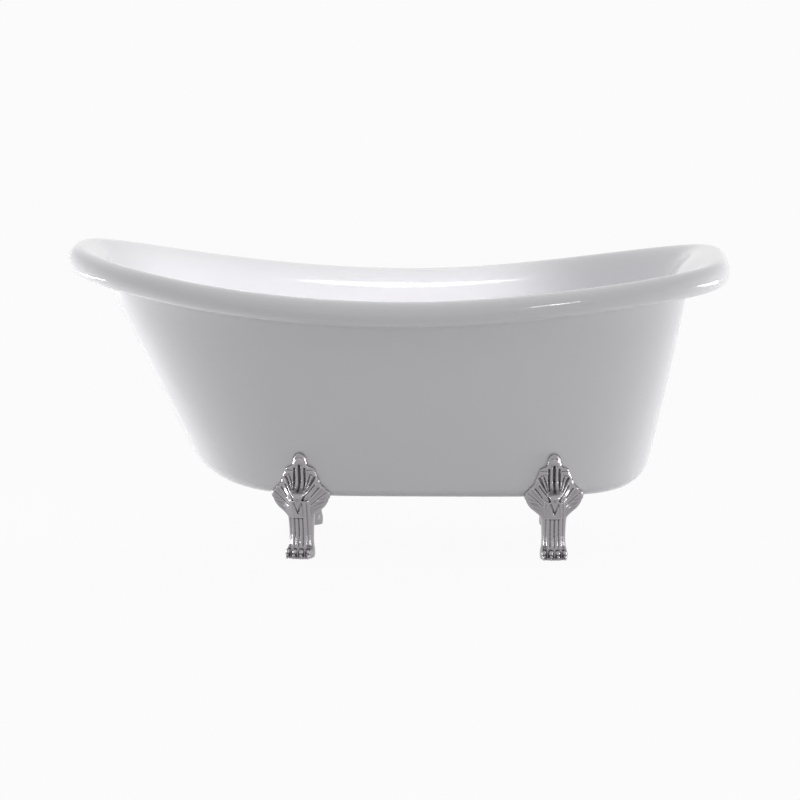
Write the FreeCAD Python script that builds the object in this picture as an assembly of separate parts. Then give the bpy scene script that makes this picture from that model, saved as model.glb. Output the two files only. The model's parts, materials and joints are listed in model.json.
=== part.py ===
"""Freestanding double-walled acrylic bath on four cast claw feet.

Millimetres, +Z up. The origin is on the ground at the centre of the overall box. +X runs
along the bath to the waste end, and the XZ plane is its plane of symmetry.
"""

import FreeCAD
import Part
import os
from math import atan2, cos, degrees, hypot, pi, radians, sin, sqrt

V = FreeCAD.Vector
X_AXIS = V(1, 0, 0)
Y_AXIS = V(0, 1, 0)
UP = V(0, 0, 1)
DOWN = V(0, 0, -1)

# --- driving dimensions: the rim ---------------------------------------------------------
overall_length = 1700.0
overall_width = 740.0
length_share = overall_length / 1700.0   # what follows the length or the width keeps its share of it
width_share = overall_width / 740.0
roll_radius = 33.0          # round outer edge of the rolled rim
rim_exponent_left = 3.0     # superellipse exponents of the outline, head end and waste end
rim_exponent_right = 4.8
roll_height_left = 743.0    # height of the roll's centre at the head end
roll_height_right = 721.0   # and at the waste end
roll_height_low = 637.0     # and at its lowest place
saddle_x = 22.0 * length_share   # where that lowest place is
saddle_flare = 1.9          # how soon the rim rises towards the waste end

# --- driving dimensions: outer shell -----------------------------------------------------
shell_wall = 6.0
tub_bottom = 156.0          # underside of the tub above the ground
base_length_left = 488.0 * length_share     # base outline, from the centre to each end
base_length_right = 626.0 * length_share
base_half_width = 250.0 * width_share
base_exponent_left = 3.0
base_exponent_right = 4.5
shell_inset_side = 40.0     # outer face inside the roll's centre line, at the roll's underside
shell_inset_left = 57.0
shell_inset_right = 90.0
shell_bulge_right = 12.0    # crown of the wall at the waste end
shell_edge_side = 18.0      # rounding between wall and bottom
shell_edge_left = 130.0
shell_edge_right = 100.0
shell_top_rise = 16.0       # how far the wall goes up inside the roll

# --- driving dimensions: basin -----------------------------------------------------------
basin_wall = 5.0
floor_height = 215.0        # wet side of the floor
floor_length_left = 484.0 * length_share    # corner of wall and floor, from the centre
floor_length_right = 600.0 * length_share
floor_half_width = 232.0 * width_share
floor_exponent_left = 2.8
floor_exponent_right = 4.0
flat_exponent_left = 2.5    # outline of the level part of the floor
flat_exponent_right = 3.0
basin_inset_side = 52.0     # wall line at crest height, inside the roll's centre line
basin_inset_left = 50.0
basin_inset_right = 108.0
basin_edge_side = 90.0      # rounding between wall and floor
basin_edge_left = 150.0
basin_edge_right = 120.0
roll_inner_drop = 95.0      # crest to where the wall runs straight
lip_gap = 3.5               # between the lip under the roll and the outer shell

seal_height = 4.0           # bead of sealant under the lip

# --- driving dimensions: base frame ------------------------------------------------------
board_thickness = 18.0
board_margin = 6.0          # board edge inside the level part of the floor
board_hole_radius = 38.0
rail_wall = 2.5
long_rail_width = 30.0
long_rail_y = 76.0 * width_share
foot_rail_width = 60.0
foot_rail_reach = base_half_width - 38.0
screw_radius = 2.4
screw_grip = 14.0           # length in the board
screw_head_radius = 4.5
screw_head_height = 3.0
driver_hole_radius = 6.0
screws_per_rail = 4
screw_end_margin = 90.0

# --- driving dimensions: feet ------------------------------------------------------------
foot_x_left = -243.0 * length_share
foot_x_right = 401.0 * length_share
foot_turn_left = -11.0      # degrees about Z that turn each front foot outwards
foot_turn_right = 4.0
foot_height = 270.0         # ground to leaf tip
leaf_thickness = 13.0
leaf_sink = 8.0             # spare behind the leaf, cut back to the tub's side
leaf_gap = 1.0
knot_below = 105.0          # below the leaf's tip
tongue_below = 152.0
tongue_half_width = 27.0
tongue_front = 40.0
rib_angles = (-62, -42, -21, 0, 21, 42, 62)
rib_lengths = (52, 62, 72, 74, 72, 62, 52)
rib_root_radius = 7.0
rib_tip_radius = 3.6
rib_start = 9.0             # from the knot's centre
toe_count = 4
toe_spacing = 17.5
toe_reach = 41.0            # outwards from the base outline
toe_splay = 0.18
gasket_thickness = 1.5
pad_thickness = 9.0
pad_reach = 96.0            # inwards from the base outline
pad_half_width = 30.0
web_drop = 70.0
web_half = 6.0
foot_bolt_radius = 4.0      # M8
foot_bolt_inwards = 74.0
foot_bolt_spacing = 36.0
foot_bolt_head = 5.3
foot_bolt_flats = 13.0
washer_thickness = 1.6
washer_radius = 8.0
rail_nut_height = 6.8
bolt_clearance = 0.4
thread_clearance = 0.05

# --- driving dimensions: levellers -------------------------------------------------------
leveller_stud_radius = 5.0  # M10
leveller_stud_length = 34.0
leveller_pad_radius = 15.0
leveller_pad_height = 6.5
leveller_lift = 0.3         # pad above the ground when screwed right in

# --- driving dimensions: waste and plug --------------------------------------------------
waste_x = 322.0 * length_share
access_length = 112.0       # opening in the tub's bottom under the waste
access_width = 90.0
flange_radius = 35.0
flange_lip = 3.0
flange_tube_radius = 22.0
flange_bore_radius = 19.0
flange_tube_length = 32.0
floor_hole_radius = 24.0
seal_thickness = 1.5
gasket_rubber = 2.0
clamp_radius = 34.0
clamp_thickness = 5.0
waste_body_radius = 25.0
waste_bore_radius = 18.0
waste_body_low = 146.0
tail_radius = 20.0
tail_wall = 2.0
tail_end = 122.0            # lowest point of the outlet pipe above the ground
tail_neck = 19.6            # the pipe is this thick inside the nut and the socket
tail_shoulder = 137.0       # top of its full thickness, just under the nut
tail_nut_radius = 29.0
plug_radius = 30.0
plug_thickness = 5.0
plug_travel = 7.0
plug_stem_radius = 3.0
plug_stem_low = 179.0
plug_boss_radius = 5.5
plug_boss_length = 6.0
plug_clip_gap = 0.2
plug_seal_thickness = 2.5
spider_low = 190.0
spider_height = 6.0
spider_width = 6.0
spider_hub_radius = 7.0
spring_wire = 1.0
spring_radius = 4.6
spring_turns = 6
spring_end_gap = 0.2

# --- driving dimensions: overflow --------------------------------------------------------
overflow_height = 590.0
overflow_plate_radius = 36.0
overflow_plate_depth = 9.0
overflow_hole_radius = 24.0
overflow_screw_radius = 2.5
screw_bore_radius = 2.8
elbow_radius = 30.0
elbow_depth = 21.0
elbow_wall = 2.5
spigot_start = 15.0         # below the elbow's centre
wall_hollow = 0.85          # how far the wall falls away across the overflow
pipe_radius = 10.0
pipe_wall = 1.6
pipe_height = 177.0         # centre of the level run above the ground
pipe_bend = 80.0
pipe_depth = 19.4           # centre of the pipe behind the wet face of the wall
port_radius = 13.0
port_reach = 42.0           # from the waste's axis to the end of its side port
port_nut_radius = 14.6
port_nut_length = 12.0
socket_wall = 2.0
socket_depth = 11.0

clearance = 0.3             # general clearance between separate pieces
running_clearance = 0.05

RING_POINTS = 96
SECTORS = 12
TOWER_POINTS = 24
TOWER_SECTORS = 4
ROUND_WEIGHT = sqrt(0.5)
STEP = 1e-4

FEET = [{"name": "left", "x": foot_x_left, "turn": foot_turn_left},
        {"name": "right", "x": foot_x_right, "turn": foot_turn_right}]
SIDES = [(-1, "front"), (1, "rear")]
WASTE = V(waste_x, 0, 0)
pad_top = tub_bottom - gasket_thickness
leveller_top = leveller_lift + leveller_pad_height + leveller_stud_length
half_length = overall_length / 2 - roll_radius
half_width = overall_width / 2 - roll_radius
shell_floor = tub_bottom + shell_wall
board_bottom = floor_height - basin_wall - board_thickness


# --- curves of the bath ------------------------------------------------------------------
def outline(t, left, right, width, power_left, power_right):
    """Point and outward normal of a superellipse whose two ends differ in length and power."""
    c, s = cos(t), sin(t)
    end, power = (right, power_right) if c > 0 else (left, power_left)
    k = (abs(c) ** power + abs(s) ** power) ** (-1 / power)
    sign_x, sign_y = (1 if c > 0 else -1), (1 if s > 0 else -1)
    normal = V(sign_x * abs(k * c) ** (power - 1) / end, sign_y * abs(k * s) ** (power - 1) / width, 0)
    return V(end * k * c, width * k * s, 0), normal.normalize()


def by_end(t, side, left, right):
    """A size that has one value along the sides and others round the two ends."""
    end = right if cos(t) > 0 else left
    return side + (end - side) * cos(t) ** 4


def roll_height(x):
    if x < saddle_x:
        share = ((saddle_x - x) / (saddle_x + half_length)) ** 2
        return roll_height_low + (roll_height_left - roll_height_low) * share
    reach = saddle_flare * (x - saddle_x) / (half_length - saddle_x)
    share = (sqrt(1 + reach ** 2) - 1) / (sqrt(1 + saddle_flare ** 2) - 1)
    return roll_height_low + (roll_height_right - roll_height_low) * share


def roll_centre(t):
    point, normal = outline(t, half_length, half_length, half_width, rim_exponent_left, rim_exponent_right)
    return V(point.x, point.y, roll_height(point.x)), normal


def base_point(t):
    point, _ = outline(t, base_length_left, base_length_right, base_half_width,
                       base_exponent_left, base_exponent_right)
    return point + UP * tub_bottom


def floor_point(t):
    point, _ = outline(t, floor_length_left, floor_length_right, floor_half_width,
                       floor_exponent_left, floor_exponent_right)
    return point + UP * floor_height


def floor_flat(t, margin=0.0):
    """Edge of the level floor, inside its rounding to the walls."""
    point, _ = outline(t, floor_length_left - basin_edge_left - margin,
                       floor_length_right - basin_edge_right - margin,
                       floor_half_width - basin_edge_side - margin,
                       flat_exponent_left, flat_exponent_right)
    return point + UP * floor_height


def mix(low, high, share):
    return low + (high - low) * share


# A profile is a list of joints and, between each two, the corner of the conic arc that joins
# them, or None where they are joined by a straight line.
def shell_wall_point(t, share):
    """Outer face of the outer shell: share 0 on the base outline, 1 at the roll's underside."""
    centre, normal = roll_centre(t)
    inset = by_end(t, shell_inset_side, shell_inset_left, shell_inset_right)
    top = centre - normal * inset - UP * roll_radius
    crown = by_end(t, 0, 0, shell_bulge_right) * 4 * share * (1 - share)
    return mix(base_point(t), top, share) + normal * crown


def shell_wall_slope(t, share):
    return (shell_wall_point(t, share + STEP) - shell_wall_point(t, share - STEP)) * (0.5 / STEP)


def shell_profile(t):
    size = by_end(t, shell_edge_side, shell_edge_left, shell_edge_right)
    height = shell_wall_point(t, 1).z - tub_bottom
    top, low = 1 + shell_top_rise / height, size / height
    edge_top, slope = shell_wall_point(t, low), shell_wall_slope(t, low)
    crown = edge_top + slope * ((top - low) / 2)
    corner = edge_top - slope * ((edge_top.z - tub_bottom) / slope.z)
    edge_low, _ = outline(t, base_length_left - shell_edge_left, base_length_right - shell_edge_right,
                          base_half_width - shell_edge_side, base_exponent_left, base_exponent_right)
    return [shell_wall_point(t, top), edge_top, edge_low + UP * tub_bottom], [crown, corner]


def basin_profile(t):
    centre, normal = roll_centre(t)
    lip = lip_gap - by_end(t, shell_inset_side, shell_inset_left, shell_inset_right)
    rim = [centre + normal * lip - UP * roll_radius, centre - UP * roll_radius,
           centre + normal * roll_radius, centre + UP * roll_radius]
    rim_corners = [None, rim[1] + normal * roll_radius, rim[3] + normal * roll_radius]
    inset = by_end(t, basin_inset_side, basin_inset_left, basin_inset_right)
    wall_top = centre - normal * inset + UP * roll_radius
    corner = floor_point(t)
    height = wall_top.z - corner.z
    size = by_end(t, basin_edge_side, basin_edge_left, basin_edge_right)
    straight_top = mix(corner, wall_top, 1 - roll_inner_drop / height)
    straight_low = mix(corner, wall_top, size / height)
    return rim + [straight_top, straight_low, floor_flat(t)], rim_corners + [wall_top, None, corner]


def offset_profile(profile, depth):
    """The same profile moved by depth towards its hidden side."""
    def moved(t):
        joints, corners = profile(t)
        after, before = profile(t + STEP)[0], profile(t - STEP)[0]
        normals = []
        for i, joint in enumerate(joints):
            if i < len(corners):
                along = (corners[i] or joints[i + 1]) - joint
                normals.append(along.cross(after[i] - before[i]).normalize())
            else:
                normals.append(DOWN)
        joints = [joint + normal * depth for joint, normal in zip(joints, normals)]
        for i, corner in enumerate(corners):
            if corner:
                both = normals[i] + normals[i + 1]
                corners[i] = corner + both * (depth / (1 + normals[i].dot(normals[i + 1])))
        return joints, corners
    return moved


# --- solids from profiles ----------------------------------------------------------------
def ring_poles(points):
    """Poles of the closed cubic curve through the points, to within a hair."""
    count = len(points)
    return [(points[i] * 8 - points[i - 1] - points[(i + 1) % count]) * (1 / 6) for i in range(-1, count - 1)]


def band(rows, weight):
    """Closed surface between rings of points: straight across two, a conic across three."""
    nets = [ring_poles(row) for row in rows]
    poles = [list(column) for column in zip(*nets)]
    degree = len(rows) - 1
    weights = [[1.0, weight, 1.0] if degree == 2 else [1.0, 1.0]] * len(poles)
    knots = [i / len(poles) for i in range(len(poles) + 1)]
    surface = Part.BSplineSurface()
    surface.buildFromPolesMultsKnots(poles, [1] * len(knots), [degree + 1] * 2, knots, [0.0, 1.0],
                                     True, False, 3, degree, weights)
    return surface


def sectors(shape, count=SECTORS):
    """A closed surface or curve cut into short stretches."""
    cuts = [(i / count, (i + 1) / count) for i in range(count)]
    if isinstance(shape, Part.BSplineSurface):
        return [shape.toShape(low, high, 0.0, 1.0) for low, high in cuts]
    return [shape.toShape(low, high) for low, high in cuts]


def level_disc(points, count=SECTORS):
    poles = ring_poles(points)
    knots = [i / len(poles) for i in range(len(poles) + 1)]
    curve = Part.BSplineCurve()
    curve.buildFromPolesMultsKnots(poles, [1] * len(knots), knots, True, 3)
    return Part.Face(Part.Wire(sectors(curve, count)))


def rings_of(profile):
    """The rings that the joints and the corners of a profile make round the bath."""
    around = [profile(2 * pi * i / RING_POINTS) for i in range(RING_POINTS)]
    joints = [[joints[k] for joints, _ in around] for k in range(len(around[0][0]))]
    corners = [[corners[k] for _, corners in around] for k in range(len(around[0][1]))]
    return joints, corners


def side_faces(joints, corners):
    faces = []
    for i, corner in enumerate(corners):
        rows = [joints[i], joints[i + 1]] if corner[0] is None else [joints[i], corner, joints[i + 1]]
        faces += sectors(band(rows, ROUND_WEIGHT))
    return faces


def closed_solid(faces):
    shell = Part.makeShell(faces)
    shell.sewShape()
    solid = Part.makeSolid(shell.Shells[0])
    if solid.Volume < 0:
        solid.reverse()
    return solid


def vessel(profile, wall):
    """A vessel whose wall runs from its lip to its level bottom."""
    seen, seen_corners = rings_of(profile)
    hidden, hidden_corners = rings_of(offset_profile(profile, wall))
    faces = side_faces(seen, seen_corners) + side_faces(hidden, hidden_corners)
    faces += sectors(band([seen[0], hidden[0]], 1))
    return closed_solid(faces + [level_disc(seen[-1]), level_disc(hidden[-1])])


def cylinder(radius, low, high, centre=V(0, 0, 0)):
    return Part.makeCylinder(radius, high - low, V(centre.x, centre.y, low))


def tube(outer, inner, low, high, centre=V(0, 0, 0)):
    return cylinder(outer, low, high, centre).cut(cylinder(inner, low, high, centre))


def rod(radius, start, end):
    return Part.makeCylinder(radius, (end - start).Length, start, end - start)


def sleeve(outer, inner, start, end):
    return rod(outer, start, end).cut(rod(inner, start, end))


def block(low, high):
    return Part.makeBox(high.x - low.x, high.y - low.y, high.z - low.z, low)


def hexagon(flats, low, high, centre):
    corner = flats / sqrt(3)
    points = [V(corner * cos(pi * k / 3), corner * sin(pi * k / 3), 0) + V(centre.x, centre.y, low)
              for k in range(6)]
    return Part.Face(Part.makePolygon(points + points[:1])).extrude(UP * (high - low))


def joined(first, *others):
    return first.fuse(list(others)).removeSplitter()


# --- shells ------------------------------------------------------------------------------
def overflow_place():
    """Point on the wet face of the waste end's wall, its inward normal and the way up it."""
    bottom, top = floor_point(0), roll_centre(0)[0] + V(-basin_inset_right, 0, roll_radius)
    up = (top - bottom).normalize()
    point = mix(bottom, top, (overflow_height - bottom.z) / (top.z - bottom.z))
    return point, V(-up.z, 0, up.x), up


def make_basin():
    basin = vessel(basin_profile, basin_wall)
    point, inward, _ = overflow_place()
    waste_hole = cylinder(floor_hole_radius, floor_height - 3 * basin_wall, floor_height + basin_wall, WASTE)
    overflow_hole = rod(overflow_hole_radius, point - inward * 3 * basin_wall, point + inward * basin_wall)
    return basin.cut([waste_hole, overflow_hole])


def make_outer_shell():
    shell = vessel(shell_profile, -shell_wall)
    corner = WASTE + V(-access_length / 2, -access_width / 2, tub_bottom - shell_wall)
    holes = [block(corner, corner + V(access_length, access_width, 3 * shell_wall))]
    for side in (-1, 1):
        for end in FEET:
            for place in foot_bolt_places(end, side):
                holes.append(cylinder(foot_bolt_radius + bolt_clearance, tub_bottom - shell_wall,
                                      shell_floor + shell_wall, place))
    return shell.cut(holes)


def seal_profile(t):
    """Bead of sealant in the corner under the roll."""
    _, normal = roll_centre(t)
    height = shell_wall_point(t, 1).z - tub_bottom
    corner = shell_wall_point(t, 1) + normal * clearance - UP * clearance
    low = shell_wall_point(t, 1 - seal_height / height) + normal * clearance
    return [corner, corner + normal * (lip_gap + seal_height / 2), low, corner], [None] * 3


def make_rim_seal():
    return closed_solid(side_faces(*rings_of(seal_profile)))


# --- base frame --------------------------------------------------------------------------
def make_base_board():
    edges = [floor_flat(2 * pi * i / RING_POINTS, board_margin) for i in range(RING_POINTS)]
    low = [V(p.x, p.y, board_bottom) for p in edges]
    high = [V(p.x, p.y, board_bottom + board_thickness) for p in edges]
    board = closed_solid(sectors(band([low, high], 1)) + [level_disc(low), level_disc(high)])
    holes = [cylinder(board_hole_radius, board_bottom, floor_height, WASTE)]
    for place in screw_places():
        holes.append(cylinder(screw_radius + running_clearance, board_bottom,
                              board_bottom + screw_grip + clearance, place))
    return board.cut(holes)


def square_tube(low, high, along):
    """Rail of square tube; along is the direction that it is open in."""
    wall = V(rail_wall, rail_wall, rail_wall) - along * rail_wall
    return block(low, high).cut(block(low + wall, high - wall))


def rail_x(end):
    """Centre line of a foot's rail, over its bolts."""
    return foot_point(end, -1, 0, foot_bolt_inwards).x


def make_long_rail(side):
    y = side * long_rail_y
    low = V(rail_x(FEET[0]) - foot_rail_width / 2, y - long_rail_width / 2, shell_floor)
    high = V(rail_x(FEET[1]) + foot_rail_width / 2, y + long_rail_width / 2, board_bottom)
    rail = square_tube(low, high, X_AXIS)
    for place in screw_places():
        if place.y * side > 0:
            rail = rail.cut([cylinder(screw_radius + bolt_clearance, board_bottom - rail_wall, board_bottom, place),
                             cylinder(driver_hole_radius, shell_floor, shell_floor + rail_wall, place)])
    return rail


def make_foot_rail(end, side):
    x = rail_x(end)
    inner, outer = long_rail_y + long_rail_width / 2, foot_rail_reach
    near, far = sorted((side * inner, side * outer))
    low = V(x - foot_rail_width / 2, near, shell_floor)
    high = V(x + foot_rail_width / 2, far, board_bottom)
    holes = [cylinder(foot_bolt_radius + bolt_clearance, shell_floor, shell_floor + rail_wall, place)
             for place in foot_bolt_places(end, side)]
    return square_tube(low, high, Y_AXIS).cut(holes)


def screw_places():
    first, last = foot_x_left + screw_end_margin, foot_x_right - screw_end_margin
    pitch = (last - first) / (screws_per_rail - 1)
    return [V(first + pitch * k, side * long_rail_y, 0) for side in (-1, 1) for k in range(screws_per_rail)]


def make_board_screws():
    screws = []
    seat = board_bottom - rail_wall
    for place in screw_places():
        screws.append(joined(cylinder(screw_radius, seat, board_bottom + screw_grip, place),
                             cylinder(screw_head_radius, seat - screw_head_height, seat, place)))
    return Part.makeCompound(screws)


# --- feet --------------------------------------------------------------------------------
# A foot is made round its own axis: -Y points out of the bath and Z is up.
def foot_placement(end, side):
    """Where a foot stands. Side is -1 for the front and 1 for the rear."""
    angle = pi * 1.5
    for _ in range(40):
        angle += (end["x"] - base_point(angle).x) / (base_length_left + base_length_right)
    turn = end["turn"] if side < 0 else 180 - end["turn"]
    return FreeCAD.Placement(V(end["x"], -side * base_point(angle).y, 0), FreeCAD.Rotation(UP, turn))


def foot_point(end, side, sideways, inwards):
    return foot_placement(end, side).multVec(V(sideways, inwards, 0))


def foot_bolt_places(end, side):
    return [foot_point(end, side, k * foot_bolt_spacing / 2, foot_bolt_inwards) for k in (-1, 1)]


def tower(rows):
    """Smooth closed body whose level rings follow the rows, each a list of points."""
    nets = [ring_poles(row) for row in rows]
    poles = [list(column) for column in zip(*nets)]
    spans = len(rows) - 3
    knots = [i / len(poles) for i in range(len(poles) + 1)]
    rises = [i / spans for i in range(spans + 1)]
    surface = Part.BSplineSurface()
    surface.buildFromPolesMultsKnots(poles, [1] * len(knots), [4] + [1] * (spans - 1) + [4], knots, rises,
                                     True, False, 3, 3, [[1.0] * len(rows)] * len(poles))
    faces = []
    for i in range(TOWER_SECTORS):
        for j in range(spans):
            faces.append(surface.toShape(i / TOWER_SECTORS, (i + 1) / TOWER_SECTORS, rises[j], rises[j + 1]))
    return closed_solid(faces + [level_disc(rows[0], TOWER_SECTORS), level_disc(rows[-1], TOWER_SECTORS)])


def level_ring(z, middle, depth, width, power=2.4):
    """Ring of points at a height: middle is how far in its centre lies from the base outline."""
    points = []
    for i in range(TOWER_POINTS):
        point, _ = outline(2 * pi * i / TOWER_POINTS, width, width, depth, power, power)
        points.append(V(point.x, point.y + middle, z))
    return points


def ellipsoid(centre, size, turn=0.0):
    """Ellipsoid with the half sizes of the vector size, leaned by turn degrees about X."""
    ball = Part.makeSphere(1.0)
    matrix = FreeCAD.Matrix()
    matrix.scale(size)
    matrix.rotateX(radians(turn))
    matrix.move(centre)
    return ball.transformGeometry(matrix)


def make_leg():
    """Cabriole leg from the mounting pad down to the paw."""
    top = pad_top - pad_thickness / 2
    return tower([
        level_ring(0, 0, 37, 34), level_ring(8, 0, 39, 35), level_ring(20, 2, 38, 34),
        level_ring(34, 6, 31, 29), level_ring(52, 9, 26, 26), level_ring(75, 9, 29, 27),
        level_ring(98, 7, 34, 28), level_ring(120, 5, 38, 29), level_ring(138, 3, 42, 30),
        level_ring(top, 2, 44, 31)])


def leaf_outline():
    """Half the leaf's edge as distances from the foot's axis and below its tip."""
    return [(0, 0), (9, 3), (14.5, 13), (19, 31), (37, 47), (41, 67), (52, 83), (72, 105), (74, 116),
            (61, 132), (55, 150), (32, 165)]


def make_leaf():
    """Acanthus leaf that lies against the side of the bath."""
    half = [V(x, 0, foot_height - below) for x, below in leaf_outline()]
    edge = half + [V(-p.x, 0, p.z) for p in reversed(half) if p.x > 0]
    plate = Part.Face(Part.makePolygon(edge + edge[:1])).extrude(V(0, -leaf_thickness - leaf_sink, 0))
    plate.translate(V(0, leaf_sink, 0))
    lean = degrees((shell_wall_point(1.5 * pi, 1) - shell_wall_point(1.5 * pi, 0)).getAngle(UP))
    plate.rotate(V(0, 0, tub_bottom), X_AXIS, lean)
    return plate, lean


def make_rib(root, angle, length):
    """Rib of the leaf that fans up from its knot."""
    way = V(sin(radians(angle)), 0, cos(radians(angle)))
    cone = Part.makeCone(rib_root_radius, rib_tip_radius, length - rib_start, root + way * rib_start, way)
    return cone.fuse(Part.makeSphere(rib_tip_radius * 1.15, root + way * (length - rib_tip_radius / 5)))


def make_leaf_relief(lean):
    """What stands proud of the leaf: its ribs, the knot they spring from and a boss."""
    front = -leaf_thickness
    knot = V(0, front, foot_height - knot_below)
    ribs = [make_rib(knot, angle, length) for angle, length in zip(rib_angles, rib_lengths)]
    relief = ribs[0].fuse(ribs[1:]).fuse([ellipsoid(knot + V(0, 3, -4), V(20, 17, 24)),
                                          ellipsoid(V(0, front, foot_height - 20), V(9, 6, 11))])
    relief.rotate(V(0, 0, tub_bottom), X_AXIS, lean)
    return relief


def make_tongue():
    """Pointed tongue that hangs from the knot in front of the leg."""
    top, point = foot_height - knot_below, foot_height - tongue_below
    corners = [V(-tongue_half_width, 0, top), V(tongue_half_width, 0, top), V(0, 0, point)]
    return Part.Face(Part.makePolygon(corners + corners[:1])).extrude(V(0, -tongue_front, 0))


def make_paw():
    """Toes with their claws."""
    pieces = []
    for k in range(toe_count):
        x = (k - (toe_count - 1) / 2) * toe_spacing
        reach = toe_reach - abs(x) * toe_splay
        pieces.append(ellipsoid(V(x, -reach + 14, 17), V(8.6, 17, 15), 12))
        pieces.append(ellipsoid(V(x, -reach + 3, 9), V(5.5, 9, 9)))
    return joined(pieces[0], *pieces[1:])


def make_mount():
    """Pad under the bottom of the tub and the web that carries it."""
    pad = block(V(-pad_half_width, -6, pad_top - pad_thickness), V(pad_half_width, pad_reach, pad_top))
    low, high = pad_top - web_drop, pad_top - pad_thickness / 2
    corners = [V(-web_half, 20, low), V(-web_half, pad_reach - 4, high), V(-web_half, 20, high)]
    web = Part.Face(Part.makePolygon(corners + corners[:1])).extrude(X_AXIS * 2 * web_half)
    holes = [cylinder(foot_bolt_radius + bolt_clearance, low, high + pad_thickness,
                      V(k * foot_bolt_spacing / 2, foot_bolt_inwards, 0)) for k in (-1, 1)]
    return pad.fuse(web).cut(holes)


def make_foot_casting():
    plate, lean = make_leaf()
    foot = make_leg()
    for piece in (plate, make_tongue(), make_mount(), make_paw(), make_leaf_relief(lean)):
        foot = foot.fuse(piece)
    below = block(V(-200, -200, -60), V(200, 200, 0))
    recess = cylinder(leveller_pad_radius + 1, -1, leveller_lift + leveller_pad_height + 1)
    bore = cylinder(leveller_stud_radius + running_clearance, 0, leveller_top + 4)
    return foot.cut([below, recess, bore])


def tub_envelope():
    """The outside of the tub, grown by the gap behind the leaves."""
    joints, corners = rings_of(offset_profile(shell_profile, leaf_gap))
    cap = [V(p.x * 0.2, p.y * 0.2, roll_height_left) for p in joints[0]]
    faces = side_faces(joints, corners) + sectors(band([joints[0], cap], 1))
    return closed_solid(faces + [level_disc(joints[-1]), level_disc(cap)])


def make_foot_gasket(end, side):
    low, high = pad_top, tub_bottom
    sheet = block(V(-pad_half_width, shell_edge_side + 2, low), V(pad_half_width, pad_reach, high))
    holes = [cylinder(foot_bolt_radius + bolt_clearance, low, high,
                      V(k * foot_bolt_spacing / 2, foot_bolt_inwards, 0)) for k in (-1, 1)]
    sheet = sheet.cut(holes)
    sheet.Placement = foot_placement(end, side)
    return sheet


def at_each_bolt(make):
    """The same fastener at every foot bolt, as separate solids."""
    return Part.makeCompound([make(place) for side in (-1, 1) for end in FEET
                              for place in foot_bolt_places(end, side)])


def foot_bolt(place):
    under_pad = pad_top - pad_thickness - washer_thickness
    head = hexagon(foot_bolt_flats, under_pad - foot_bolt_head, under_pad, place)
    top = shell_floor + rail_wall + rail_nut_height + 2
    return joined(head, cylinder(foot_bolt_radius, under_pad, top, place))


def foot_washer(place):
    top = pad_top - pad_thickness
    return tube(washer_radius, foot_bolt_radius + bolt_clearance, top - washer_thickness, top, place)


def rail_nut(place):
    low = shell_floor + rail_wall
    nut = hexagon(foot_bolt_flats, low, low + rail_nut_height, place)
    return nut.cut(cylinder(foot_bolt_radius + thread_clearance, low, low + rail_nut_height, place))


def make_leveller_stud(end, side):
    axis = foot_point(end, side, 0, 0)
    return cylinder(leveller_stud_radius, leveller_lift + leveller_pad_height, leveller_top, axis)


def make_leveller_pad(end, side):
    axis = foot_point(end, side, 0, 0)
    low, high = leveller_lift, leveller_lift + leveller_pad_height
    rim = cylinder(leveller_pad_radius, low, high, axis)
    return rim.makeChamfer(1.0, [edge for edge in rim.Edges if edge.Closed])


# --- waste and plug ----------------------------------------------------------------------
def make_waste_flange():
    lip_low = floor_height + seal_thickness
    lip_high = lip_low + flange_lip
    lip = cylinder(flange_radius, lip_low, lip_high, WASTE)
    lip = lip.makeChamfer(flange_lip * 0.6, [edge for edge in lip.Edges
                                             if edge.Closed and edge.CenterOfMass.z > lip_high - STEP])
    flange = joined(lip, cylinder(flange_tube_radius, lip_low - flange_tube_length, lip_high, WASTE))
    flange = flange.cut(cylinder(flange_bore_radius, 0, floor_height * 2, WASTE))
    bar = block(WASTE + V(-flange_bore_radius - 1, -spider_width / 2, spider_low),
                WASTE + V(flange_bore_radius + 1, spider_width / 2, spider_low + spider_height))
    hub = cylinder(spider_hub_radius, spider_low, spider_low + spider_height, WASTE)
    guide = cylinder(plug_stem_radius + running_clearance, spider_low, spider_low + spider_height, WASTE)
    return joined(flange, bar, hub).cut(guide)


def make_flange_seal():
    return tube(flange_radius - 2, floor_hole_radius + clearance, floor_height, floor_height + seal_thickness, WASTE)


def make_waste_gasket():
    under = floor_height - basin_wall
    return tube(clamp_radius, flange_tube_radius + clearance, under - gasket_rubber, under, WASTE)


def make_waste_body():
    top = floor_height - basin_wall - gasket_rubber
    body = joined(cylinder(clamp_radius, top - clamp_thickness, top, WASTE),
                  cylinder(waste_body_radius, waste_body_low, top, WASTE),
                  rod(port_radius, WASTE + UP * pipe_height, WASTE + V(port_reach, 0, pipe_height)))
    thread_low = floor_height + seal_thickness - flange_tube_length - 1
    return body.cut([cylinder(waste_bore_radius, waste_body_low, top, WASTE),
                     cylinder(flange_tube_radius + running_clearance, thread_low, top, WASTE),
                     cylinder(tail_neck + running_clearance, waste_body_low, waste_body_low + socket_depth, WASTE),
                     rod(pipe_radius + running_clearance, WASTE + V(waste_bore_radius - 4, 0, pipe_height),
                         WASTE + V(port_reach, 0, pipe_height))])


def make_tail_seal():
    return tube(waste_body_radius - 0.5, tail_neck + clearance, waste_body_low - gasket_rubber,
                waste_body_low, WASTE)


def make_tail_nut():
    low, step, high = waste_body_low - gasket_rubber - 5, waste_body_low - gasket_rubber, waste_body_low + 9
    nut = hexagon(2 * tail_nut_radius, low, high, WASTE)
    return nut.cut([cylinder(tail_radius + clearance, low, high, WASTE),
                    cylinder(waste_body_radius + thread_clearance, step, high, WASTE)])


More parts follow.
